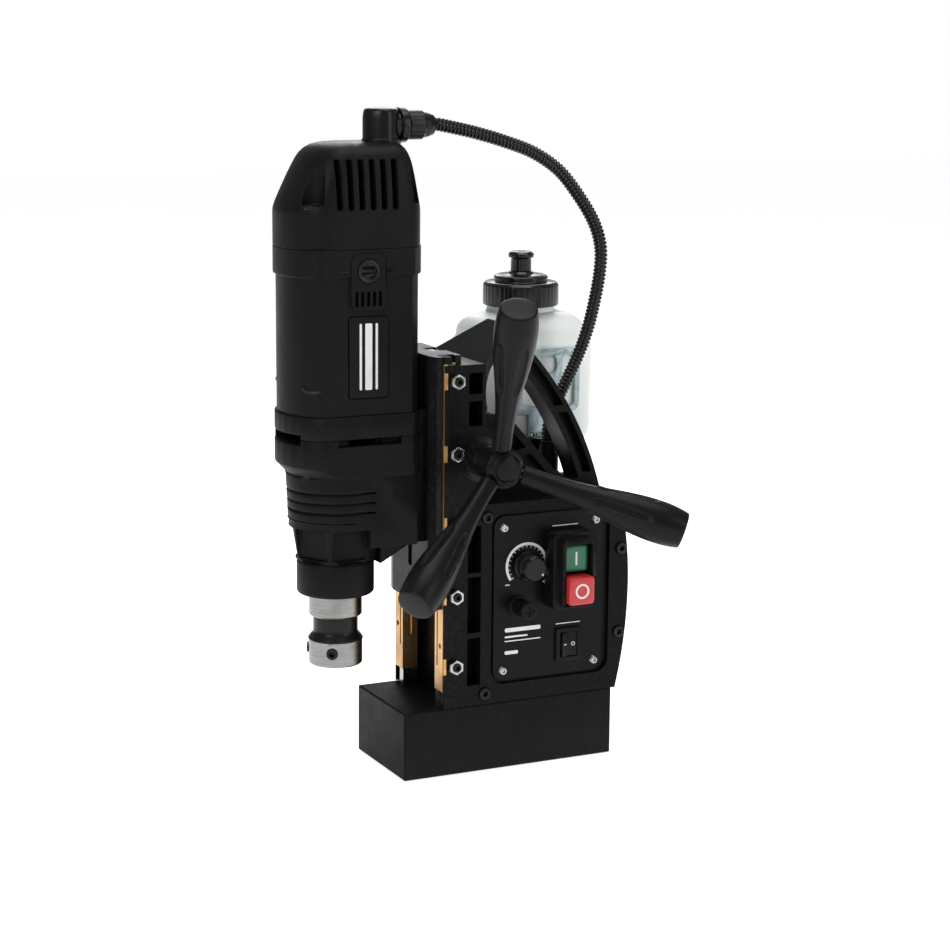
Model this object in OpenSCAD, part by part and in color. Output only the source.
// Magnetic base drill press: an electromagnet foot carries a cast column, a rack-fed slide
// runs in the column between brass gibs, and the slide carries the gear case and motor.
// Frame: origin at the centre of the magnet's lower face, +Z up, drill on the -Y side,
// control panel and feed levers on the +X side. Millimetres.

/* [Magnet base] */
// Length of the magnet along Y
magnet_length = 168; // [160:1:176]
// Width of the magnet and of the column along X
base_width = 84; // [84:1:88]
// Height of the magnet
magnet_height = 50; // [46:1:50]

/* [Column] */
// Height of the column's flat top
column_top = 298; // [294:1:300]
// Height of the control housing's top
housing_top = 197; // [194:1:200]
// Width of the carry handle's arch along X
arch_width = 24; // [20:1:28]
// Height of the arch's peak
arch_peak = 322; // [318:1:324]

/* [Slide] */
// Lowest point of the slide as drawn
slide_bottom = 123; // [120:1:126]
// Length of the slide
slide_length = 181; // [178:1:184]
// Width of the slide's head along X
slide_head_width = 78; // [74:1:80]
// Running clearance between slide and gibs
slide_clearance = 0.05; // [0.03:0.01:0.08]

/* [Feed] */
// Module of the rack and feed pinion
feed_module = 2; // [2:1:2]
// Teeth on the feed pinion
feed_teeth = 14; // [14:1:14]
// Distance of a lever's end from the hub's centre
lever_reach = 137; // [120:1:145]
// Tilt of the levers away from the column
lever_tilt = 28; // [20:1:30]
// Turn of the first lever from upright, towards the front
lever_phase = 9; // [0:1:30]

/* [Gear train] */
// Module of the first stage
first_module = 1.25; // [1.25:0.25:1.25]
// Module of the second stage
second_module = 1.5; // [1.5:0.25:1.5]
// Teeth on the armature pinion
armature_teeth = 10; // [10:1:10]
// Teeth on the intermediate gear
intermediate_teeth = 28; // [28:1:28]
// Teeth on the intermediate pinion
pinion_teeth = 14; // [14:1:14]
// Teeth on the spindle gear
spindle_teeth = 30; // [30:1:30]

/* [Motor] */
// Radius of the motor housing's round front
motor_radius = 49.5; // [48:0.5:50]
// Half width across the motor's side flats
motor_flat = 36; // [34:0.5:38]
// Top of the motor housing, where the cap starts
motor_seam = 381; // [378:1:384]
// Top of the motor cap
motor_top = 452; // [448:1:456]

/* [Cutter holder] */
// Diameter of the bore for a weldon shank cutter
shank_bore = 19.08; // [19.06:0.01:19.12]
// Outside diameter of the cutter holder
holder_diameter = 38.6; // [36:0.2:40]

/* [Coolant bottle] */
// Length of the bottle along Y
bottle_length = 105; // [90:1:106]
// Thickness of the bottle along X
bottle_depth = 66; // [56:1:70]

/* [Hidden] */
$fn = 64;

e = 0.05;                              // cut overshoot and loose fit of fasteners
side = base_width / 2;                 // outer side faces of magnet and column

// Column and gibs
wall = 8;                              // column side wall
channel_half = side - wall;            // half width of the slide channel
gib_half = 28;                         // half width between the gibs
gib_front = -54;
gib_back = -42;
gib_lip = 2.5;                         // thickness of the gib's front flange
gib_bottom = magnet_height + 12.5;
channel_back = -36.5;
column_rear = -22;
gib_screw_y = -45;
gib_screw_z = [for (i = [0:4]) 81 + i * 51.5];
cover_front = -23;
cover_inner = side - wall;
pocket_depth = 14;

// Rear outline: two arcs that meet at arc_z
arc_z = 130;
arch_radius = 250;
arch_inner = 235.3;
foot_radius = 340;
rear_y = 96.25;

// Feed
hub_y = -25;
hub_z = 230;
hub_x = 70;
feed_radius = feed_module * feed_teeth / 2;
rack_pitch_y = hub_y - feed_radius;
tip_height = 0.85;
root_depth = 1.15;
pressure_angle = 25;
bush_radius = feed_radius + feed_module * tip_height + 0.5;
feed_shaft_radius = 8;

// Slide
slide_top = slide_bottom + slide_length;
slide_front = -61;
rack_back = -48;

// Drive axes along Y
motor_y = -110;
first_centres = first_module * (armature_teeth + intermediate_teeth) / 2;
second_centres = second_module * (pinion_teeth + spindle_teeth) / 2;
intermediate_y = motor_y + first_centres;
spindle_y = intermediate_y - second_centres;

// Gear case and motor levels
collar_bottom = 134.5;
slot_bottom = 245;
case_top = 250;
plate_top = 266;
arm_bottom = 171;
arm_back = -70;                        // where the arm narrows to its neck
arm_half = 33;
neck_half = 27;
brush_z = 366;
plate_bearing = 252;                   // lower armature bearing
cap_shoulder = 407;
cap_screw_x = 27;
cap_screw_front = -149;
cap_screw_rear = -73;

// Cutter holder screws, as turns about the spindle
screw_turns = [-30, -120];

// Panel
panel_x = 39;
panel_face = 41;
knob_y = 12.5;
knob_z = 149.5;
fuse_y = 6;
fuse_z = 120;
button_y = 44;
start_z = 155;
stop_z = 133;
rocker_y = 47;
rocker_z = 87.5;
cover_screw_points = [[-21, 58], [-20, 187.5], [89.5, 155.5], [88.5, 92.5]];
panel_screw_points = [[-6, 73], [-6, 178.5], [68.5, 73], [68.5, 178.5]];

// Bottle and bracket
bottle_x = -80;
bottle_y = 67;
bottle_bottom = 217;
bottle_shoulder = 300;
bracket_x = bottle_x + bottle_depth / 2 + 0.5;
foot_z = 226;

// Conduit from the motor elbow to the housing gland
elbow_y = -84;
elbow_z = 462.5;
elbow_radius = 13.5;
gland_x = -25;
gland_y = 63.5;
gland_top = 226;
conduit_radius = 5;
conduit_route = [
    [0, -49, elbow_z], [0, -41, elbow_z], [0, -28, 460], [0, -10, 456], [0, 13, 449.5],
    [0, 35, 441.5], [0, 55, 429], [0, 70.5, 412], [0, 84.5, 391.5], [-1, 91.5, 373],
    [-3, 92.5, 354], [-8, 91, 330], [-14, 88.5, 308], [-20, 83, 286], [-24, 75, 266],
    [-25, 67.5, 250], [gland_x, gland_y, 237], [gland_x, gland_y, gland_top]
];

// ---------------------------------------------------------------- helpers

// Extrudes a (y, z) outline along X from x0 to x1
module along_x(x0, x1) {
    translate([x0, 0, 0]) rotate([90, 0, 90]) linear_extrude(x1 - x0) children();
}

// Extrudes an (x, z) outline along Y from y0 to y1
module along_y(y0, y1) {
    translate([0, y1, 0]) rotate([90, 0, 0]) linear_extrude(y1 - y0) children();
}

// Extrudes an (x, y) outline from z0 to z1
module along_z(z0, z1) {
    translate([0, 0, z0]) linear_extrude(z1 - z0) children();
}

// Cylinder along X through (y, z)
module rod_x(x0, x1, y, z, r) {
    translate([x0, y, z]) rotate([0, 90, 0]) cylinder(h = x1 - x0, r = r);
}

// Cylinder along Y through (x, z)
module rod_y(y0, y1, x, z, r) {
    translate([x, y0, z]) rotate([-90, 0, 0]) cylinder(h = y1 - y0, r = r);
}

// Cylinder along Z through (x, y)
module rod_z(z0, z1, x, y, r) {
    translate([x, y, z0]) cylinder(h = z1 - z0, r = r);
}

// Box between two corners
module block(low, high) {
    translate(low) cube(high - low);
}

// Rectangle from corner to corner with rounded corners
module round_rect(low, high, r) {
    translate([low[0], low[1] + r]) square([high[0] - low[0], high[1] - low[1] - 2 * r]);
    translate([low[0] + r, low[1]]) square([high[0] - low[0] - 2 * r, high[1] - low[1]]);
    for (x = [low[0] + r, high[0] - r], y = [low[1] + r, high[1] - r])
        translate([x, y]) circle(r);
}

// Rectangle with chamfered corners, centred on the origin
module chamfer_rect(w, h, c) {
    polygon([
        [-w / 2 + c, -h / 2], [w / 2 - c, -h / 2], [w / 2, -h / 2 + c], [w / 2, h / 2 - c],
        [w / 2 - c, h / 2], [-w / 2 + c, h / 2], [-w / 2, h / 2 - c], [-w / 2, -h / 2 + c]
    ]);
}

// Socket screw along -Z with its head's seat at the origin and its head above
module socket_screw(shank_r, length, head_r, head_h, key) {
    difference() {
        union() {
            translate([0, 0, -length]) cylinder(h = length + e, r = shank_r);
            cylinder(h = head_h, r = head_r);
        }
        translate([0, 0, head_h * 0.4]) cylinder(h = head_h, r = key, $fn = 6);
    }
}

// Places children, drawn along -Z, on the +X side at (y, z)
module from_x(x, y, z) {
    translate([x, y, z]) rotate([0, 90, 0]) children();
}

function to_degrees(v) = v * 180 / PI;
function involute(a) = tan(a) - a * PI / 180;
function polar(r, a) = [r * cos(a), r * sin(a)];

// Half of a tooth's angle at radius r
function half_tooth(m, z, slack, r) =
    let (pitch_r = m * z / 2, base_r = pitch_r * cos(pressure_angle))
    90 / z - to_degrees(slack / 2 / pitch_r)
    + to_degrees(involute(pressure_angle) - involute(acos(min(1, base_r / max(r, base_r)))));

// Outline of an involute gear with a tooth centred on the +X direction
module gear_outline(m, z, slack = 0.12, steps = 4) {
    pitch_r = m * z / 2;
    base_r = pitch_r * cos(pressure_angle);
    tip_r = pitch_r + tip_height * m;
    root_r = pitch_r - root_depth * m;
    start_r = max(base_r, root_r);
    flank = [for (i = [0:steps]) start_r + (tip_r - start_r) * i / steps];
    polygon([
        for (k = [0:z - 1]) each concat(
            [polar(root_r, k * 360 / z - half_tooth(m, z, slack, start_r))],
            [for (r = flank) polar(r, k * 360 / z - half_tooth(m, z, slack, r))],
            [for (i = [steps:-1:0]) polar(flank[i], k * 360 / z + half_tooth(m, z, slack, flank[i]))],
            [polar(root_r, k * 360 / z + half_tooth(m, z, slack, start_r))]
        )
    ]);
}

// Plain rolling bearing: two rings and a shield between them
module bearing(bore_r, outer_r, height) {
    groove = (outer_r - bore_r) * 0.3;
    rotate_extrude() difference() {
        translate([bore_r, 0]) square([outer_r - bore_r, height]);
        translate([bore_r + groove, height - 1]) square([groove, 2]);
        translate([bore_r + groove, -1]) square([groove, 2]);
    }
}

// ---------------------------------------------------------------- magnet

coil_centres = [-40, 40];
coil_outer = [68, 70];
pole = [40, 42];
magnet_screw_points = [[-26, 0], [26, 0], [-26, 64], [26, 64]];

module coil_ring(gap) {
    difference() {
        round_rect(-coil_outer / 2 + [gap, gap], coil_outer / 2 - [gap, gap], 8);
        round_rect(-pole / 2 - [gap, gap], pole / 2 + [gap, gap], 5);
    }
}

module magnet_shell() {
    coil_depth = magnet_height - 16;
    color([0.09, 0.09, 0.09]) difference() {
        intersection() {
            linear_extrude(magnet_height) chamfer_rect(base_width, magnet_length, 1);
            along_x(-side, side) translate([0, magnet_height / 2])
                chamfer_rect(magnet_length, magnet_height, 1);
            along_y(-magnet_length / 2, magnet_length / 2) translate([0, magnet_height / 2])
                chamfer_rect(base_width, magnet_height, 1);
        }
        for (y = coil_centres)
            translate([0, y, -1]) linear_extrude(coil_depth + 1) coil_ring(0);
        for (p = magnet_screw_points)
            rod_z(magnet_height - 13, magnet_height + 1, p[0], p[1], 4 + e);
    }
}

module magnet_coils() {
    color([0.55, 0.3, 0.14]) for (y = coil_centres)
        translate([0, y, 0.4]) linear_extrude(magnet_height - 16.8) coil_ring(0.2);
}

module magnet_screws() {
    color([0.2, 0.2, 0.2]) for (p = magnet_screw_points)
        translate([p[0], p[1], magnet_height + 10]) socket_screw(4, 22, 6.5, 8, 3.5);
}

// ---------------------------------------------------------------- column and housing

module rear_arcs(shrink) {
    intersection() {
        translate([rear_y - arch_radius, arc_z]) circle(arch_radius - shrink, $fn = 180);
        translate([-60, arc_z - e]) square([200, 200]);
    }
    intersection() {
        translate([rear_y - foot_radius, arc_z]) circle(foot_radius - shrink, $fn = 180);
        translate([-60, 0]) square([200, arc_z]);
    }
}

// Side outline of the housing below the arch, from y0 backwards
module housing_outline(y0) {
    intersection() {
        rear_arcs(0);
        translate([y0, magnet_height]) square([200, housing_top - magnet_height]);
    }
}

module cover_outline() {
    housing_outline(cover_front);
    for (i = [0, 1]) translate(cover_screw_points[i]) circle(7);
}

// The finger opening under the arch
module handle_opening() {
    translate([-1, 277]) circle(21);
    intersection() {
        translate([rear_y - arch_radius, arc_z]) circle(arch_inner, $fn = 180);
        polygon([[-1, 256], [14, 251], [50, 211], [62, 204], [80, 204], [20, 298], [-1, 298]]);
    }
}

// Arch and the web below the opening
module arch_outline() {
    difference() {
        intersection() {
            rear_arcs(0);
            polygon([
                [-30, housing_top - 1], [100, housing_top - 1], [100, arch_peak],
                [7, arch_peak], [column_rear, column_top], [-30, column_top]
            ]);
        }
        handle_opening();
    }
}

// Band of the arch between two radii, from z0 to z1
module arch_band(r0, r1, z0, z1) {
    intersection() {
        translate([rear_y - arch_radius, arc_z]) difference() {
            circle(r1, $fn = 180);
            circle(r0, $fn = 180);
        }
        translate([5, z0]) square([100, z1 - z0]);
    }
}

module arch_pockets() {
    arch_band(239.5, 246.5, 208, 254);
    arch_band(239.5, 246.5, 259, 312);
    polygon([[-4, 250], [12, 245], [26, 230], [8, 226], [-3, 238]]);
    polygon([[14, 222], [30, 225], [44, 209], [44, 203], [14, 203]]);
}

column_pockets = [[65, 100], [104, 145], [148, 182], [254, 272], [277, 292]];

module column_body() {
    // Column block with its side walls
    block([-side, -51.5, magnet_height], [side, column_rear, column_top]);
    // Thin lips that hide the gibs' edges
    for (s = [-1, 1])
        block([s > 0 ? side - 1 : -side, -53.5, magnet_height],
              [s > 0 ? side : 1 - side, -51, column_top]);
    // Control housing
    along_x(-side, cover_inner) housing_outline(column_rear - 1);
    // Feed boss
    rod_x(-side, side, hub_y, hub_z, 21);
    // Arch and web
    along_x(-arch_width / 2, arch_width / 2) arch_outline();
    // Shoulder that narrows from the column to the arch
    difference() {
        hull() {
            block([-side, column_rear - 1, 262], [side, column_rear, column_top]);
            block([-arch_width / 2, 5, 300], [arch_width / 2, 7, arch_peak]);
        }
        along_x(-side - 1, side + 1) handle_opening();
    }
    // Spot face for the mains gland
    rod_y(80, 94, -18, 80, 12);
    // Pad for the bottle bracket's foot
    block([-side, 54, housing_top - 1], [-34.5, 73, foot_z]);
}

module main_frame() {
    color([0.1, 0.1, 0.1]) difference() {
        column_body();
        // Slide channel
        block([-channel_half, -60, magnet_height - 1], [channel_half, channel_back, column_top + 30]);
        // Notches beside the gib screws
        for (s = [-1, 1], z = gib_screw_z)
            block([s * side - 1.2, -54, z - 6], [s * side + 1.2, -51.5, z + 6]);
        // Lightening pockets on both sides
        for (s = [-1, 1], p = column_pockets)
            block([s > 0 ? side - pocket_depth : -side - 1, -35, p[0]],
                  [s > 0 ? side + 1 : pocket_depth - side, -24.5, p[1]]);
        for (s = [-1, 1])
            along_x(s > 0 ? 4 : -arch_width / 2 - 1, s > 0 ? arch_width / 2 + 1 : -4) arch_pockets();
        // Room for the cover and its ears
        along_x(cover_inner, side + 1) {
            translate([cover_front - 0.1, 40]) square([140, housing_top - 40 + 0.1]);
            for (i = [0, 1]) translate(cover_screw_points[i]) circle(7.1);
        }
        // Housing cavity
        along_x(-side + 5, cover_inner + 1) round_rect([-13, magnet_height + 10], [78, 187], 6);
        // Pinion chamber, loaded from the near side, and the far bearing
        rod_x(-8.5, side + 1, hub_y, hub_z, bush_radius);
        rod_x(-side - 1, 0, hub_y, hub_z, 10);
        // Gib adjusting screws
        for (z = gib_screw_z) rod_x(-side - 1, side + 1, gib_screw_y, z, 3 + e);
        // Magnet screws
        for (p = magnet_screw_points) rod_z(magnet_height - 1, 62, p[0], p[1], 4 + e);
        // Cover screws
        for (p = cover_screw_points) rod_x(16, cover_inner + 1, p[0], p[1], 2.5 + e);
        // Glands and bracket screws
        rod_z(180, housing_top + 1, gland_x, gland_y, 6.5 + e);
        rod_y(70, 110, -18, 80, 6.5 + e);
        for (y = [59, 68]) rod_z(foot_z - 12, foot_z + 1, -38.5, y, 1.75 + e);
    }
}

module housing_cover() {
    color([0.1, 0.1, 0.1]) difference() {
        along_x(cover_inner, side) cover_outline();
        // Recess for the panel, and the window behind it
        along_x(panel_x, side + 1) round_rect([-16, 63.5], [80, 189.5], 10);
        along_x(0, side + 1) round_rect([-3, 75], [64, 172], 6);
        for (p = panel_screw_points) rod_x(0, side, p[0], p[1], 2 + e);
        for (p = cover_screw_points) {
            rod_x(0, side + 1, p[0], p[1], 2.5 + e);
            rod_x(side - 3, side + 1, p[0], p[1], 4.8);
        }
        // Small drain mark in the lower border
        rod_x(side - 0.6, side + 1, 73.5, 57, 1.2);
    }
}

module cover_screws() {
    color([0.06, 0.06, 0.06]) for (p = cover_screw_points)
        from_x(side - 3, p[0], p[1]) socket_screw(2.5, 20, 4.2, 5, 2.2);
}

// ---------------------------------------------------------------- gibs

module gib_bars() {
    color([0.78, 0.55, 0.28]) for (s = [-1, 1]) scale([s, 1, 1]) difference() {
        union() {
            block([gib_half, gib_front, gib_bottom], [channel_half, gib_back, column_top + 1]);
            block([gib_half, gib_front, gib_bottom], [side - 1.1, gib_front + gib_lip, column_top + 1]);
            for (z = gib_screw_z)
                block([side - 1.2, -53.4, z - 5.8], [side, gib_front + gib_lip, z + 5.8]);
        }
        // Oil groove on the sliding face
        block([gib_half - 1, -49.5, gib_bottom + 25], [gib_half + 1.2, -46.5, column_top - 20]);
        // Long groove and retaining screw's dimple on the front face
        block([31, gib_front - 1, gib_bottom + 18], [33, gib_front + 1, column_top - 20]);
        rod_y(gib_front - 1, gib_front + 1.5, 36.5, gib_bottom + 33, 2);
    }
}

module gib_blocks() {
    color([0.6, 0.61, 0.62]) for (s = [-1, 1]) scale([s, 1, 1])
        block([gib_half, -53.5, magnet_height], [channel_half, gib_back, gib_bottom]);
}

module gib_caps() {
    color([0.05, 0.05, 0.05]) for (s = [-1, 1]) scale([s, 1, 1])
        block([gib_half + 1, -53.8, column_top + 1], [side - 0.5, -48, column_top + 6]);
}

module gib_set_screws() {
    color([0.12, 0.12, 0.12]) for (s = [-1, 1], z = gib_screw_z) scale([s, 1, 1]) {
        end = s > 0 ? side + 6 : side - 0.5;
        difference() {
            rod_x(channel_half, end, gib_screw_y, z, 3);
            rod_x(end - 3, end + 1, gib_screw_y, z, 1.7, $fn = 6);
        }
    }
}

module gib_lock_nuts() {
    color([0.75, 0.76, 0.77]) for (z = gib_screw_z) difference() {
        translate([side, gib_screw_y, z]) rotate([0, 90, 0]) cylinder(h = 4.8, r = 5.6, $fn = 6);
        rod_x(side - 1, side + 6, gib_screw_y, z, 3 + e);
    }
}

// ---------------------------------------------------------------- control panel

module control_panel() {
    color([0.04, 0.04, 0.04]) difference() {
        along_x(panel_x, panel_face) round_rect([-13.75, 66], [74.5, 187], 8);
        rod_x(0, side, knob_y, knob_z, 4 + e);
        rod_x(0, side, fuse_y, fuse_z, 6.2 + e);
        along_x(0, side) translate([button_y, 144])
            square([24 + 2 * e, 48 + 2 * e], center = true);
        along_x(0, side) translate([rocker_y, rocker_z])
            square([17 + 2 * e, 21 + 2 * e], center = true);
        for (p = panel_screw_points) rod_x(0, side, p[0], p[1], 2 + e);
    }
}

module panel_screws() {
    color([0.78, 0.78, 0.79]) for (p = panel_screw_points) from_x(panel_face, p[0], p[1]) {
        difference() {
            union() {
                translate([0, 0, -6]) cylinder(h = 6 + e, r = 2);
                cylinder(h = 2.2, r1 = 3.7, r2 = 2.4);
            }
            translate([0, 0, 1]) cylinder(h = 2, r = 1.4, $fn = 6);
        }
    }
}

module potentiometer() {
    color([0.5, 0.5, 0.48]) difference() {
        union() {
            rod_x(24, panel_x, knob_y, knob_z, 8.5);
            rod_x(panel_x - 1, panel_face + 2, knob_y, knob_z, 4);
            rod_x(panel_face, panel_face + 1.6, knob_y, knob_z, 6, $fn = 6);
        }
        rod_x(28, panel_face + 3, knob_y, knob_z, 3 + e);
    }
}

module speed_knob() {
    color([0.05, 0.05, 0.05]) {
        difference() {
            union() {
                rod_x(panel_face + 0.4, panel_face + 3, knob_y, knob_z, 11);
                rod_x(panel_face + 2, panel_face + 15, knob_y, knob_z, 9.2);
            }
            rod_x(panel_face, panel_face + 4, knob_y, knob_z, 7);
            // Pointer dimple
            rod_x(panel_face + 14.4, panel_face + 16, knob_y + 5.6, knob_z - 4.4, 0.9);
        }
        rod_x(30, panel_face + 6, knob_y, knob_z, 3);
    }
}

module fuse_holder() {
    color([0.05, 0.05, 0.05]) difference() {
        union() {
            rod_x(14, panel_face + 9, fuse_y, fuse_z, 6.2);
            rod_x(panel_face, panel_face + 2, fuse_y, fuse_z, 8);
        }
        rod_x(18, panel_face + 10, fuse_y, fuse_z, 3.2);
    }
}

module fuse_cap() {
    color([0.06, 0.06, 0.06]) difference() {
        union() {
            rod_x(panel_face + 9, panel_face + 18, fuse_y, fuse_z, 6.4);
            rod_x(22, panel_face + 9 + e, fuse_y, fuse_z, 3);
        }
        for (a = [0, 90]) translate([panel_face + 17, fuse_y, fuse_z]) rotate([a, 0, 0])
            block([0, -4, -0.7], [2, 4, 0.7]);
    }
}

guard_outer = [33.5, 56];
guard_z = 145.5;

module switch_guard() {
    color([0.05, 0.05, 0.05]) difference() {
        union() {
            along_x(panel_face, panel_face + 14) translate([button_y, guard_z])
                chamfer_rect(guard_outer[0], guard_outer[1], 2);
            along_x(panel_face + 14 - e, panel_face + 22) translate([button_y, guard_z])
                chamfer_rect(27, 50, 3);
        }
        along_x(panel_face - 1, panel_face + 23) translate([button_y, 144])
            square([21.4, 44.6], center = true);
        // Finger relief beside the stop button
        along_x(panel_face + 10, panel_face + 23) translate([button_y + 15, stop_z])
            square([18, 18], center = true);
    }
}

module switch_block() {
    color([0.12, 0.12, 0.13]) {
        along_x(20, panel_face + 1.5) translate([button_y, 144]) chamfer_rect(21, 44, 1);
        for (y = [36, 44, 52]) block([13, y - 0.4, 134], [20 + e, y + 0.4, 138]);
    }
}

// Square push button with softened edges
module square_button(z, size, height) {
    along_x(panel_face + 6, panel_face + height) translate([button_y, z]) chamfer_rect(size, size, 0.8);
}

module start_button() {
    color([0.02, 0.45, 0.24]) square_button(start_z, 20, 17);
}

module stop_button() {
    color([0.8, 0.12, 0.14]) square_button(stop_z, 20.6, 27);
}

module rocker_bezel() {
    color([0.06, 0.06, 0.06]) difference() {
        union() {
            along_x(panel_face, panel_face + 2.2) translate([rocker_y, rocker_z])
                chamfer_rect(20.8, 25, 1);
            along_x(22, panel_face + e) translate([rocker_y, rocker_z])
                square([17, 21], center = true);
        }
        along_x(28, panel_face + 3) translate([rocker_y, rocker_z])
            square([14, 18.6], center = true);
    }
}

module rocker() {
    // Rocks about a vertical pin, drawn with its right side pressed
    color([0.04, 0.04, 0.04]) translate([panel_face - 1, rocker_y, 0]) rotate([0, 0, 7])
        along_z(rocker_z - 9, rocker_z + 9)
            polygon([[-4, -5], [-4, 5], [0.5, 6.2], [3.6, 6.2], [2.4, 0], [3.6, -6.2], [0.5, -6.2]]);
}

module circuit_board() {
    board_x = -29;
    color([0.05, 0.3, 0.16]) {
        block([board_x, -4, 72], [board_x + 1.6, 62, 172]);
        block([board_x + 1.5, 4, 80], [board_x + 22, 30, 112]);
        block([board_x + 1.5, 8, 126], [board_x + 14, 52, 140]);
        for (y = [40, 54]) rod_x(board_x + 1.5, board_x + 24, y, 92, 6);
        for (y = [0, 58], z = [76, 168]) rod_x(-side + 5, board_x + e, y, z, 3);
    }
}

// ---------------------------------------------------------------- glands and conduit

module conduit_gland() {
    color([0.05, 0.05, 0.05]) {
        rod_z(housing_top - 12, housing_top + e, gland_x, gland_y, 6.5);
        translate([gland_x, gland_y, housing_top]) cylinder(h = 6, r = 8.9, $fn = 6);
        rod_z(housing_top + 6 - e, housing_top + 19, gland_x, gland_y, 7.6);
        translate([gland_x, gland_y, housing_top + 19 - e])
            cylinder(h = gland_top - housing_top - 19 + e, r1 = 7.6, r2 = 6.2);
    }
}

module mains_gland() {
    gland_back = 92;
    color([0.05, 0.05, 0.05]) difference() {
        union() {
            rod_y(75, gland_back + 3, -18, 80, 6.5);
            translate([-18, gland_back + 2, 80]) rotate([-90, 0, 0])
                cylinder(h = 5, r = 10, $fn = 6);
            rod_y(gland_back + 6, gland_back + 17, -18, 80, 8);
            translate([-18, gland_back + 17 - e, 80]) rotate([-90, 0, 0])
                cylinder(h = 4, r1 = 8, r2 = 5.5);
        }
        rod_y(gland_back - 4, gland_back + 30, -18, 80, 4);
    }
}

function unit(v) = v / norm(v);

// Direction of the route at point i
function heading(route, i) =
    unit(route[min(i + 1, len(route) - 1)] - route[max(i - 1, 0)]);

// Tube swept along a route, one ring of corners to each point
module swept_tube(route, radius, sides) {
    rings = [
        for (i = [0:len(route) - 1])
            let (d = heading(route, i), u = unit(cross(d, [1, 0, 0])), v = cross(d, u))
            for (k = [0:sides - 1])
                route[i] + radius * (cos(k * 360 / sides) * u + sin(k * 360 / sides) * v)
    ];
    last = (len(route) - 1) * sides;
    polyhedron(rings, concat(
        [[for (k = [0:sides - 1]) k]],
        [
            for (i = [0:len(route) - 2], k = [0:sides - 1]) let (n = (k + 1) % sides)
                each [[i * sides + k, (i + 1) * sides + k, (i + 1) * sides + n],
                      [i * sides + k, (i + 1) * sides + n, i * sides + n]]
        ],
        [[for (k = [sides - 1:-1:0]) last + k]]
    ));
}

module conduit() {
    color([0.04, 0.04, 0.04]) swept_tube(conduit_route, conduit_radius, 10);
}

module elbow() {
    color([0.05, 0.05, 0.05]) {
        rod_z(motor_top - 3, elbow_z + 5, 0, elbow_y, elbow_radius);
        translate([0, elbow_y, elbow_z + 5 - e])
            cylinder(h = 7, r1 = elbow_radius, r2 = elbow_radius - 5);
        rod_y(elbow_y, -66, 0, elbow_z, 10);
    }
}

module conduit_nut() {
    color([0.05, 0.05, 0.05]) difference() {
        union() {
            translate([0, -66, elbow_z]) rotate([-90, 0, 0]) cylinder(h = 13, r = 10.4, $fn = 8);
            translate([0, -53 - e, elbow_z]) rotate([-90, 0, 0])
                cylinder(h = 8 + e, r1 = 9, r2 = 6.8);
        }
        rod_y(-49, -44, 0, elbow_z, conduit_radius + 0.3);
    }
}

// ---------------------------------------------------------------- bottle

module bottle_footprint(shrink) {
    half = [bottle_depth / 2 - shrink, bottle_length / 2 - shrink];
    round_rect([bottle_x, bottle_y] - half, [bottle_x, bottle_y] + half, 28 - shrink);
}

// Bottle body with a step and a rounded shoulder up to the neck
module bottle_solid(shrink, z0, z1) {
    along_z(z0, z1 - 9) bottle_footprint(shrink);
    hull() {
        along_z(z1 - 9.5, z1 - 9) bottle_footprint(shrink, $fn = 32);
        along_z(z1 - 5, z1 + 4) bottle_footprint(shrink + 5, $fn = 32);
    }
    hull() {
        along_z(z1 + 3.5, z1 + 4) bottle_footprint(shrink + 5, $fn = 32);
        along_z(z1 + 11, z1 + 11.5) bottle_footprint(shrink + 10, $fn = 32);
        rod_z(z1 + 17, z1 + 18, bottle_x, bottle_y, 27 - shrink, $fn = 32);
    }
}

module bottle() {
    color([0.9, 0.92, 0.9, 0.8]) difference() {
        union() {
            bottle_solid(0, bottle_bottom, bottle_shoulder);
            rod_z(bottle_shoulder + 17, bottle_shoulder + 26, bottle_x, bottle_y, 20);
        }
        bottle_solid(1.6, bottle_bottom + 1.6, bottle_shoulder - 1);
        rod_z(bottle_shoulder, bottle_shoulder + 30, bottle_x, bottle_y, 17.5);
    }
}

module bottle_lid() {
    color([0.04, 0.04, 0.04]) translate([bottle_x, bottle_y, 0]) difference() {
        union() {
            rod_z(322, 340, 0, 0, 28.8);
            rod_z(340 - e, 345.5, 0, 0, 20.5);
            rod_z(345.5 - e, 358.5, 0, 0, 6.5);
        }
        rod_z(321, bottle_shoulder + 26, 0, 0, 20 + e);
        rod_z(321, 337, 0, 0, 16);
        rod_z(321, 361, 0, 0, 3);
    }
}

module nozzle_cap() {
    color([0.04, 0.04, 0.04]) translate([bottle_x, bottle_y, 0]) difference() {
        union() {
            rod_z(347.5, 360, 0, 0, 7.9);
            rod_z(358, 362.5, 0, 0, 9.8);
        }
        rod_z(346, 359.5, 0, 0, 6.5 + e);
        rod_z(346, 364, 0, 0, 2);
    }
}

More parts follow.
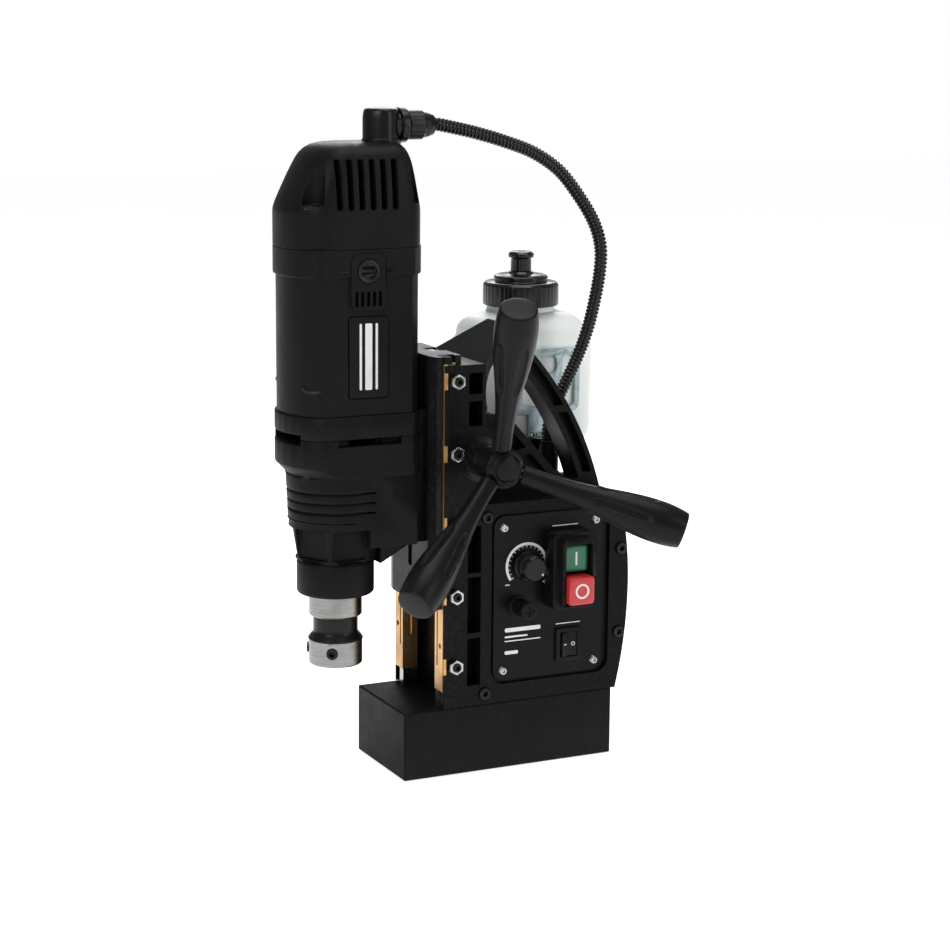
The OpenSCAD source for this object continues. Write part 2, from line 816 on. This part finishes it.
module bottle_bracket() {
    plate_back = bracket_x + 2;
    ledge_z = bottle_bottom - 2.1;
    lip_x = bottle_x - bottle_depth / 2 - 2.6;
    color([0.62, 0.7, 0.71]) difference() {
        union() {
            // Upright plate with its foot on the housing
            along_x(bracket_x, plate_back) round_rect([33, 243], [100, 292], 7);
            along_x(bracket_x, plate_back) translate([57, foot_z]) square([13, 30]);
            block([bracket_x, 57, foot_z], [-34.5, 70, foot_z + 2]);
            // Side flanges that steady the bottle
            for (y = [33, 98]) block([bracket_x - 0.8, y, 251], [plate_back, y + 2, 284]);
            // Strap down to the ledge under the bottle, and the ledge's lip
            block([bracket_x, 72, ledge_z], [plate_back, 84, 250]);
            block([lip_x, 50, ledge_z], [plate_back, 84, ledge_z + 2]);
            block([lip_x, 50, ledge_z], [lip_x + 2, 84, ledge_z + 16]);
        }
        along_x(bracket_x - 1, plate_back + 1) {
            for (y = [37, 85]) round_rect([y, 247], [y + 10.5, 287], 5);
            round_rect([52, 248.5], [80, 267], 5);
            round_rect([52, 273], [80, 287], 5);
        }
        for (y = [59, 68]) rod_z(foot_z - 1, foot_z + 3, -38.5, y, 1.75 + e);
    }
}

module bracket_screws() {
    color([0.7, 0.71, 0.72]) for (y = [59, 68])
        translate([-38.5, y, foot_z + 2]) socket_screw(1.75, 11, 3.2, 2.4, 1.4);
}

// ---------------------------------------------------------------- feed

module feed_bushes() {
    color([0.2, 0.2, 0.2]) difference() {
        union() {
            rod_x(9, side, hub_y, hub_z, bush_radius);
            rod_x(side - e, side + 4, hub_y, hub_z, 15);
            rod_x(-side + 1, -9, hub_y, hub_z, 10);
        }
        rod_x(-side, side + 5, hub_y, hub_z, feed_shaft_radius + e);
        // Cleared for the slide
        block([0, -60, 200], [channel_half, channel_back, 260]);
    }
}

module pinion_shaft() {
    color([0.66, 0.67, 0.68]) {
        rod_x(-side + 2, side + 4.4, hub_y, hub_z, feed_shaft_radius);
        rod_x(side + 4.4, hub_x - 8, hub_y, hub_z, 12);
        // Tooth at -Y lies in the rack's gap
        along_x(-7, 7) translate([hub_y, hub_z]) rotate(180) gear_outline(feed_module, feed_teeth);
    }
}

module feed_hub() {
    color([0.07, 0.07, 0.07]) difference() {
        union() {
            rod_x(hub_x - 8, hub_x + 9, hub_y, hub_z, 13.5);
            translate([hub_x + 9 - e, hub_y, hub_z]) rotate([0, 90, 0])
                cylinder(h = 5 + e, r1 = 13.5, r2 = 10.5);
            rod_x(hub_x + 14 - e, hub_x + 16, hub_y, hub_z, 9.5);
        }
        levers() translate([0, 0, 7]) cylinder(h = 30, r = 4 + e);
    }
}

// Places children, drawn along +Z, on the three lever axes
module levers() {
    for (k = [0:2])
        translate([hub_x, hub_y, hub_z])
            rotate([lever_phase - 120 * k, 0, 0]) rotate([0, lever_tilt, 0])
                translate([0, 0, 1]) children();
}

module lever_rods() {
    color([0.5, 0.5, 0.5]) levers() translate([0, 0, 7]) cylinder(h = 52, r = 4);
}

// Radius of a grip at fraction t of its length
function grip_radius(t) =
    t < 0.84 ? 6.7 + 8.2 * pow(sin(t / 0.84 * 90), 3.2) : 14.9 - 2.3 * pow((t - 0.84) / 0.16, 2);

module lever_grips() {
    start = 16;
    length = lever_reach - start - 1;
    steps = 14;
    color([0.07, 0.07, 0.07]) levers() translate([0, 0, start]) rotate_extrude() difference() {
        polygon(concat(
            [[0, 0]],
            [for (i = [0:steps]) [grip_radius(i / steps), length * i / steps]],
            [[9, length + 0.8], [0, length + 1]]
        ));
        translate([-1, -1]) square([5 + e, 46]);
    }
}

// ---------------------------------------------------------------- slide

module slide() {
    head = slide_head_width / 2;
    neck = gib_half - slide_clearance;
    color([0.1, 0.1, 0.1]) difference() {
        along_z(slide_bottom, slide_top) polygon([
            [-30, slide_front], [30, slide_front], [head, slide_front + 2.5],
            [head, gib_front - slide_clearance], [neck, gib_front - slide_clearance],
            [neck, gib_back + slide_clearance], [channel_half - 0.5, gib_back + slide_clearance],
            [channel_half - 0.5, channel_back - 1], [-channel_half + 0.5, channel_back - 1],
            [-channel_half + 0.5, gib_back + slide_clearance], [-neck, gib_back + slide_clearance],
            [-neck, gib_front - slide_clearance], [-head, gib_front - slide_clearance],
            [-head, slide_front + 2.5]
        ]);
        // Rack seat
        block([-8, rack_back, slide_bottom - 1], [8, channel_back, slide_top + 1]);
        // Front slot with the rack screws in it
        block([-3.2, slide_front - 1, 151], [3.2, slide_front + 5, slide_top + 1]);
        rod_y(slide_front - 1, slide_front + 5, 0, 151, 3.2);
        for (z = rack_screw_z) {
            rod_y(slide_front - 1, slide_front + 8, 0, z, 3.3);
            rod_y(slide_front, rack_back + 1, 0, z, 2 + e);
        }
        for (x = [-20, 20], z = arm_screw_z) {
            rod_y(slide_front - 1, channel_back, x, z, 3 + e);
            rod_y(-43, channel_back, x, z, 5);
        }
    }
}

rack_screw_z = [151, 215, 290];
arm_screw_z = [182, 210];

module rack() {
    pitch = PI * feed_module;
    tooth = pitch / 2 - 0.12;
    tip = rack_pitch_y + tip_height * feed_module;
    root = rack_pitch_y - root_depth * feed_module;
    lean = tan(pressure_angle);
    tip_half = tooth / 2 - (tip - rack_pitch_y) * lean;
    root_half = tooth / 2 + (rack_pitch_y - root) * lean;
    low = slide_bottom + 1;
    high = slide_top - 1;
    first = ceil((low + root_half - hub_z) / pitch - 0.5);
    last = floor((high - root_half - hub_z) / pitch - 0.5);
    color([0.45, 0.45, 0.46]) difference() {
        along_x(-8 + e, 8 - e) polygon(concat(
            [[rack_back, low], [root, low]],
            [
                for (k = [first:last]) let (z = hub_z + (k + 0.5) * pitch)
                    each [[root, z - root_half], [tip, z - tip_half],
                          [tip, z + tip_half], [root, z + root_half]]
            ],
            [[root, high], [rack_back, high]]
        ));
        for (z = rack_screw_z) rod_y(rack_back - 1, rack_back + 5, 0, z, 2 + e);
    }
}

module slide_screws() {
    color([0.15, 0.15, 0.15]) {
        for (z = rack_screw_z) translate([0, slide_front + 8, z]) rotate([90, 0, 0])
            socket_screw(2, 9.5, 3.1, 3, 1.5);
        for (x = [-20, 20], z = arm_screw_z) translate([x, -43, z]) rotate([-90, 0, 0])
            socket_screw(3, 30, 4.7, 4.5, 2.4);
    }
}

// ---------------------------------------------------------------- gear case

// Cross-section of the motor, grown by d
module motor_section(d) {
    intersection() {
        translate([0, motor_y]) circle(motor_radius + d, $fn = 120);
        polygon([
            [-motor_flat - d, -62], [-motor_flat - d, motor_y - 32 - d / 2],
            [-14, -180], [14, -180],
            [motor_flat + d, motor_y - 32 - d / 2], [motor_flat + d, -62]
        ]);
    }
}

module gear_case() {
    color([0.13, 0.13, 0.13]) difference() {
        union() {
            // Collar, ribbed cone and upper nose
            translate([0, spindle_y, collar_bottom]) rotate_extrude() polygon([
                [0, 0], [26, 0], [27.5, 1.5], [27.5, 23.5], [26, 25], [28.2, 25], [31.5, 48],
                [33, 49.5], [33, 55], [33.4, 55], [35, 87.6], [0, 87.6]
            ]);
            // Arm to the slide, with its gusset
            block([-arm_half, spindle_y, arm_bottom], [arm_half, arm_back, case_top]);
            block([-neck_half, arm_back - 1, arm_bottom], [neck_half, slide_front, case_top]);
            along_x(-20, 20) polygon([[-93, 156], [-93, arm_bottom + 1], [-64, arm_bottom + 1]]);
            // Wide band, chamfered below
            intersection() {
                along_z(222, case_top) motor_section(1.5);
                union() {
                    translate([0, motor_y, 221]) cylinder(h = 11 + e, r1 = 42, r2 = 53);
                    rod_z(232, case_top, 0, motor_y, 60);
                    block([-50, motor_y, 222], [50, slide_front, case_top]);
                }
            }
        }
        // Windows between the nose ribs
        for (a = [-120, -60, 0, -180]) translate([0, spindle_y, 0]) rotate(a)
            difference() {
                block([24.5, -13, 160.5], [40, 13, 184]);
                block([24, -14, 160], [26.6, 14, 162.5]);
            }
        // Ridges around the upper nose
        for (z = [196, 203, 210]) translate([0, spindle_y, z]) rotate_extrude() intersection() {
            translate([33.1, 0]) square([4, 1]);
            square([40, 1]);
        }
        // Spindle bore, bearing seats and gear chambers
        rod_z(collar_bottom - 1, 200, 0, spindle_y, 14);
        rod_z(137, 149, 0, spindle_y, 23.5);
        rod_z(collar_bottom - 1, 138, 0, spindle_y, 20.5);
        rod_z(184, 194, 0, spindle_y, 17.5);
        rod_z(197, 218, 0, spindle_y, 25.5);
        rod_z(198, case_top + 1, 0, intermediate_y, 13);
        rod_z(225, case_top + 1, 0, intermediate_y, 20.2);
        rod_z(217, case_top + 1, 0, motor_y, 12);
        rod_z(225, case_top + 1, 0, motor_y, 33);
        rod_z(188, 200, 0, intermediate_y, 5 + e);
        // Air slots under the seam
        block([-24, -170, slot_bottom + 1], [24, motor_y - 20, case_top + 1]);
        for (s = [-1, 1]) scale([s, 1, 1])
            block([31, -132, slot_bottom], [60, -84.5, case_top + 1]);
        for (x = [-20, 20], z = arm_screw_z) rod_y(-76, slide_front + 1, x, z, 3 + e);
    }
}

module bearing_plate() {
    color([0.13, 0.13, 0.13]) difference() {
        union() {
            along_z(case_top, plate_top) motor_section(1.5);
            block([-neck_half, arm_back - 6, case_top], [neck_half, slide_front - 0.3, plate_top]);
        }
        rod_z(case_top - 1, plate_top + 1, 0, motor_y, 9);
        rod_z(plate_bearing, plate_bearing + 9, 0, motor_y, 16);
        rod_z(plate_bearing + 8, plate_top + 1, 0, motor_y, 12);
        rod_z(case_top - 1, 258, 0, intermediate_y, 5 + e);
        rod_z(plate_bearing + 10, plate_top + 1, 0, motor_y, 36);
        block([-24, -170, case_top - 1], [24, motor_y - 30, case_top + 3]);
    }
}

module spindle_bearings() {
    color([0.7, 0.71, 0.72]) translate([0, spindle_y, 0]) {
        translate([0, 0, 137]) bearing(12.5 + e, 23.5, 12);
        translate([0, 0, 184]) bearing(8.5 + e, 17.5, 10);
    }
}

// ---------------------------------------------------------------- motor

module motor_housing() {
    color([0.08, 0.08, 0.08]) difference() {
        union() {
            along_z(plate_top, 362) motor_section(0);
            along_z(362 - e, motor_seam) motor_section(2);
            // Brush bosses
            for (start = [-motor_flat - 2.6, motor_flat - 1])
                along_x(start, start + 3.6)
                    round_rect([motor_y - 13, 339], [motor_y + 13, 378.5], 6);
        }
        along_z(plate_top - 1, motor_seam + 1) motor_section(-3.5);
        for (x = [-cap_screw_x, cap_screw_x], y = [cap_screw_front, cap_screw_rear])
            rod_z(365, motor_seam + 1, x, y, 2 + e);
        // Label recess on the control side
        along_x(motor_flat - 0.5, motor_flat + 1) round_rect([-124, 278], [-94, 335], 2);
        for (s = [-1, 1]) {
            rod_x(s > 0 ? 20 : -60, s > 0 ? 60 : -20, motor_y, brush_z, 8 + e);
            for (k = [-2:2]) block([s > 0 ? motor_flat - 2 : -60, motor_y + k * 4.4 - 1, 342],
                                   [s > 0 ? 60 : 2 - motor_flat, motor_y + k * 4.4 + 1, 352]);
        }
    }
    // Screw bosses for the cap, tied into the wall
    color([0.08, 0.08, 0.08])
        for (x = [-cap_screw_x, cap_screw_x], y = [cap_screw_front, cap_screw_rear])
        intersection() {
            along_z(plate_top, motor_seam) motor_section(0);
            difference() {
                rod_z(366, motor_seam, x, y, 7);
                rod_z(365, motor_seam + 1, x, y, 2 + e);
            }
        }
}

module motor_cap() {
    vent_y = [for (k = [0:5]) -135.5 + k * 9.2];
    color([0.08, 0.08, 0.08]) difference() {
        hull() {
            along_z(motor_seam, cap_shoulder) motor_section(2, $fn = 64);
            translate([0, -68, 439]) scale([0.9, 0.76, 1]) translate([0, 62, 0])
                linear_extrude(1) motor_section(2, $fn = 64);
            translate([0, -73, motor_top - 1]) scale([0.7, 0.57, 1]) translate([0, 62, 0])
                linear_extrude(1) motor_section(0, $fn = 64);
        }
        // Room for the commutator end and the top bearing
        rod_z(motor_seam - 1, 383, 0, motor_y, 30);
        rod_z(382, 390, 0, motor_y, 11);
        rod_z(389, 400, 0, motor_y, 7);
        rod_z(400, 438, 0, motor_y + 4, 30);
        // Side vents
        for (s = [-1, 1], y = vent_y)
            block([s > 0 ? 22 : -60, y, 405], [s > 0 ? 60 : -22, y + 3.6, 438]);
        // Scoops over the screws
        for (x = [-1, 1]) {
            rod_z(cap_shoulder + 1, motor_top + 10, x * (cap_screw_x + 2), cap_screw_front, 7.5);
            rod_z(cap_shoulder + 1, motor_top + 10, x * (cap_screw_x + 2), cap_screw_rear, 6.5);
        }
        for (x = [-cap_screw_x, cap_screw_x], y = [cap_screw_front, cap_screw_rear])
            rod_z(motor_seam - 1, cap_shoulder + 2, x, y, 2 + e);
        rod_z(motor_top - 4, motor_top + 10, 0, elbow_y, elbow_radius + e);
    }
}

module cap_screws() {
    color([0.15, 0.15, 0.15])
        for (x = [-cap_screw_x, cap_screw_x], y = [cap_screw_front, cap_screw_rear])
            translate([x, y, cap_shoulder + 1]) socket_screw(2, 40, 3.8, 2.6, 1.5);
}

module brush_caps() {
    color([0.04, 0.04, 0.04]) for (s = [-1, 1]) scale([s, 1, 1]) difference() {
        rod_x(33, motor_flat + 3.4, motor_y, brush_z, 8);
        rod_x(motor_flat + 1.2, motor_flat + 4, motor_y, brush_z, 5.8);
        block([motor_flat, motor_y - 5, brush_z - 0.8], [motor_flat + 2, motor_y + 5, brush_z + 0.8]);
    }
}

module brush_holders() {
    color([0.75, 0.58, 0.28]) for (s = [-1, 1]) scale([s, 1, 1]) {
        rod_x(18, 33, motor_y, brush_z, 7);
        block([13.4, motor_y - 3, brush_z - 4], [18 + e, motor_y + 3, brush_z + 4]);
    }
}

module field_core() {
    color([0.35, 0.33, 0.32]) difference() {
        union() {
            intersection() {
                rod_z(286, 334, 0, motor_y, 45.5);
                along_z(280, 340) motor_section(-4);
            }
            rod_z(279, 341, 0, motor_y, 31);
        }
        rod_z(270, 350, 0, motor_y, 22.6);
    }
}

module armature_bearings() {
    color([0.7, 0.71, 0.72]) translate([0, motor_y, 0]) {
        translate([0, 0, plate_bearing]) bearing(6 + e, 16, 9);
        translate([0, 0, 383]) bearing(4 + e, 11, 7);
    }
}

module armature_shaft() {
    color([0.66, 0.67, 0.68]) translate([0, motor_y, 0]) {
        along_z(226, 239) rotate(90) gear_outline(first_module, armature_teeth);
        rod_z(239 - e, 246, 0, 0, 4.5);
        rod_z(246 - e, 380, 0, 0, 6);
        rod_z(380 - e, 392, 0, 0, 4);
    }
}

module armature_core() {
    color([0.5, 0.3, 0.16]) translate([0, motor_y, 0]) difference() {
        union() {
            rod_z(286, 334, 0, 0, 22);
            rod_z(278, 342, 0, 0, 18);
            rod_z(350, 374, 0, 0, 13);
            rod_z(341, 351, 0, 0, 10);
        }
        rod_z(270, 380, 0, 0, 6);
    }
}

module cooling_fan() {
    color([0.1, 0.1, 0.1]) translate([0, motor_y, 0]) difference() {
        union() {
            rod_z(263.5, 265.5, 0, 0, 32);
            rod_z(265.5 - e, 277, 0, 0, 10);
            for (k = [0:8]) rotate(k * 40) block([8, -1, 265.5 - e], [31, 1, 275]);
        }
        rod_z(262, 280, 0, 0, 6);
    }
}

// ---------------------------------------------------------------- drive train

module intermediate_gear() {
    color([0.45, 0.45, 0.46]) translate([0, intermediate_y, 0]) {
        rod_z(189, 257, 0, 0, 5);
        // Tooth towards the spindle
        along_z(199, 216) rotate(-90) gear_outline(second_module, pinion_teeth);
        // Gap towards the armature
        along_z(227, 237) rotate(-90 + 180 / intermediate_teeth)
            gear_outline(first_module, intermediate_teeth);
    }
}

module spindle_gear() {
    color([0.45, 0.45, 0.46]) translate([0, spindle_y, 0]) difference() {
        along_z(200, 214) rotate(90 + 180 / spindle_teeth) gear_outline(second_module, spindle_teeth);
        rod_z(199, 215, 0, 0, 8.5);
    }
}

module spindle() {
    color([0.7, 0.71, 0.72]) translate([0, spindle_y, 0]) rotate_extrude() polygon([
        [8, 118], [18.2, 118], [19, 119], [19, 133], [18.2, 134], [12.5, 134], [12.5, 151],
        [11, 151], [11, 183], [8.5, 183], [8.5, 216], [0, 216], [0, 136], [8, 136]
    ]);
}

module cutter_holder() {
    holder_r = holder_diameter / 2;
    color([0.62, 0.63, 0.64]) translate([0, spindle_y, 0]) difference() {
        rotate_extrude() polygon([
            [0, 83], [0, 135.5], [8 - e, 135.5], [8 - e, 118], [15.75, 118], [15.75, 103.5],
            [holder_r - 1.8, 103.5], [holder_r, 101], [holder_r, 83.5], [holder_r - 1, 82.5],
            [9, 82.5]
        ]);
        rod_z(81, 116, 0, 0, shank_bore / 2);
        for (a = screw_turns) translate([0, 0, 93]) rotate(a) rotate([0, 90, 0])
            cylinder(h = 25, r = 4 + e);
    }
}

module holder_screws() {
    color([0.1, 0.1, 0.1]) translate([0, spindle_y, 0]) for (a = screw_turns)
        translate([0, 0, 93]) rotate(a) difference() {
            rod_x(10.5, holder_diameter / 2 + 1, 0, 0, 4);
            rod_x(16, 25, 0, 0, 2.3, $fn = 6);
        }
}

// ---------------------------------------------------------------- nodes

magnet_shell();
magnet_coils();
magnet_screws();
main_frame();
housing_cover();
cover_screws();
control_panel();
panel_screws();
gib_bars();
gib_blocks();
gib_caps();
gib_set_screws();
gib_lock_nuts();
circuit_board();
potentiometer();
speed_knob();
fuse_holder();
fuse_cap();
switch_guard();
switch_block();
start_button();
stop_button();
rocker_bezel();
rocker();
conduit_gland();
mains_gland();
bottle_bracket();
bracket_screws();
bottle();
bottle_lid();
nozzle_cap();
feed_bushes();
pinion_shaft();
feed_hub();
lever_rods();
lever_grips();
slide();
rack();
slide_screws();
gear_case();
bearing_plate();
motor_housing();
motor_cap();
cap_screws();
brush_caps();
brush_holders();
field_core();
spindle_bearings();
armature_bearings();
elbow();
conduit_nut();
conduit();
spindle();
spindle_gear();
cutter_holder();
holder_screws();
intermediate_gear();
armature_shaft();
armature_core();
cooling_fan();
